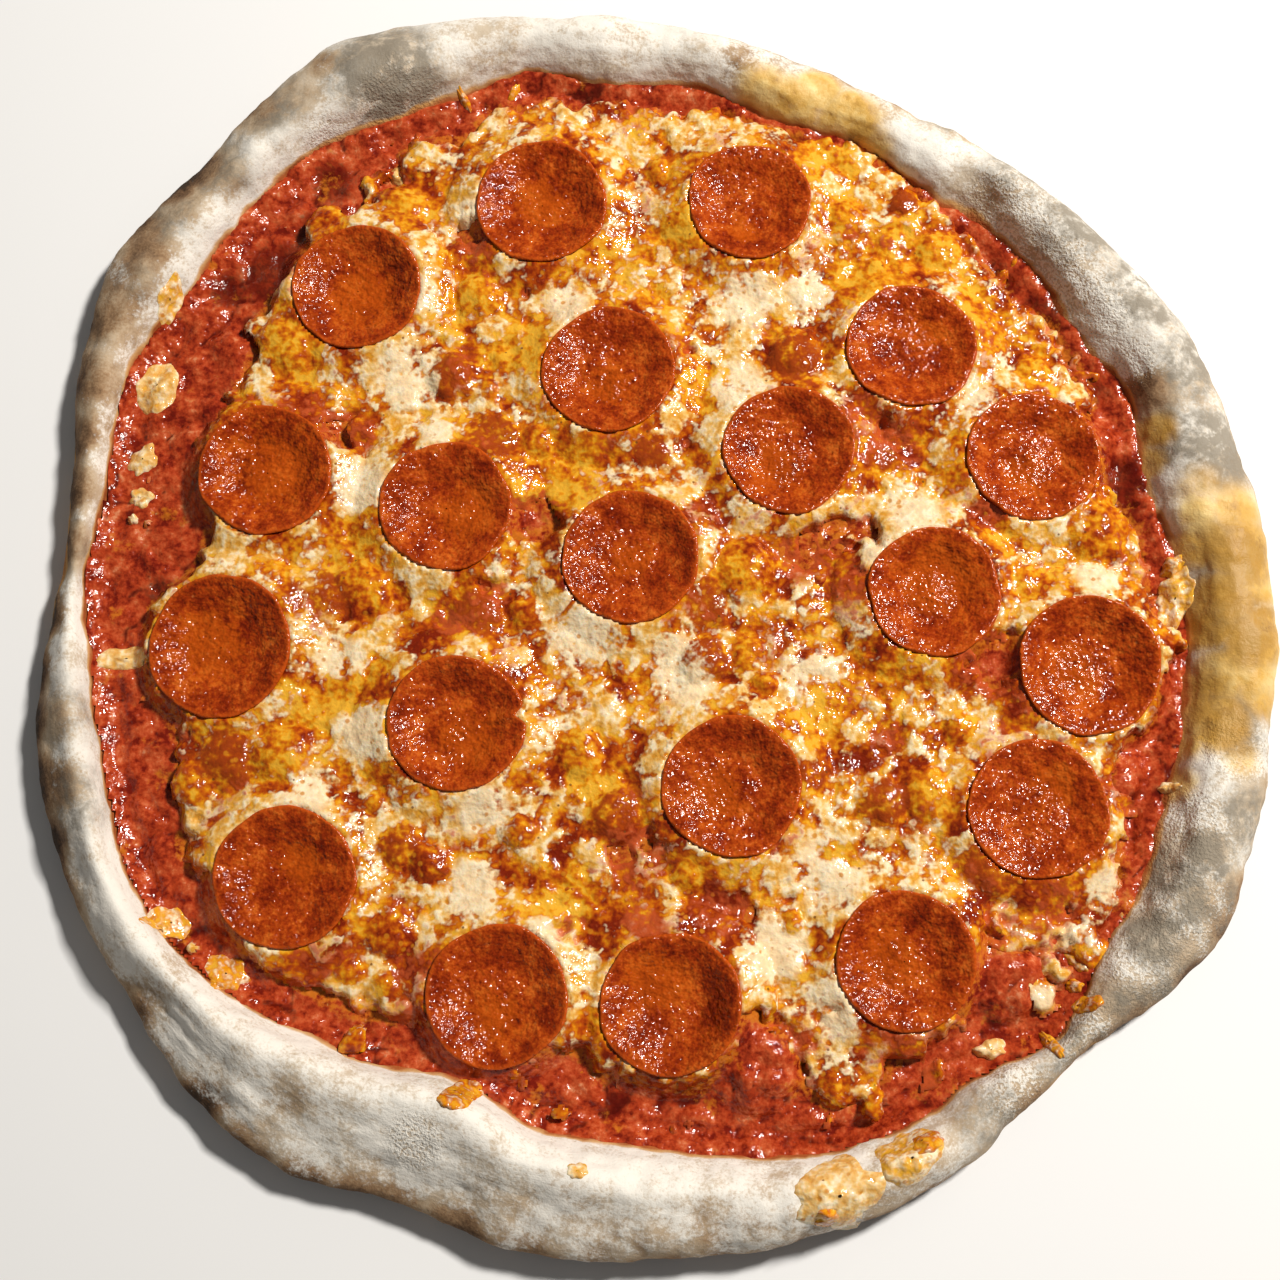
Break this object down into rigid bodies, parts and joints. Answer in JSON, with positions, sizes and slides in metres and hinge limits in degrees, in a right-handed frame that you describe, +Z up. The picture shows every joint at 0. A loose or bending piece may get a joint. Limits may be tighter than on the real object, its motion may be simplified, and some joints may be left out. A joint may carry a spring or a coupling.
{
  "type": "pepperoni pizza",
  "caption": "Whole uncut pizza with a puffed floury rim, tomato sauce, melted toasted cheese and curled pepperoni slices.",
  "frame": {"origin": "on the surface that the pizza rests on, under the middle of its box", "axes": "+Z up; +X to the right and +Y to the far side, as seen in the picture"},
  "size_m": [0.3309, 0.3435, 0.0225],
  "materials": {
    "baked_crust": "matte, floury, toasted in patches",
    "tomato_sauce": "moist",
    "melted_cheese": "oily, toasted in spots",
    "pepperoni": "oily"
  },
  "bodies": {
    "root": {"crust": "baked_crust", "sauce": "tomato_sauce", "cheese": "melted_cheese", "pepperoni_01": "pepperoni", "pepperoni_02": "pepperoni", "pepperoni_03": "pepperoni", "pepperoni_04": "pepperoni", "pepperoni_05": "pepperoni", "pepperoni_06": "pepperoni", "pepperoni_07": "pepperoni", "pepperoni_08": "pepperoni", "pepperoni_09": "pepperoni", "pepperoni_10": "pepperoni", "pepperoni_11": "pepperoni", "pepperoni_12": "pepperoni", "pepperoni_13": "pepperoni", "pepperoni_14": "pepperoni", "pepperoni_15": "pepperoni", "pepperoni_16": "pepperoni", "pepperoni_17": "pepperoni", "pepperoni_18": "pepperoni", "pepperoni_19": "pepperoni", "pepperoni_20": "pepperoni"}
  },
  "joints": []
}
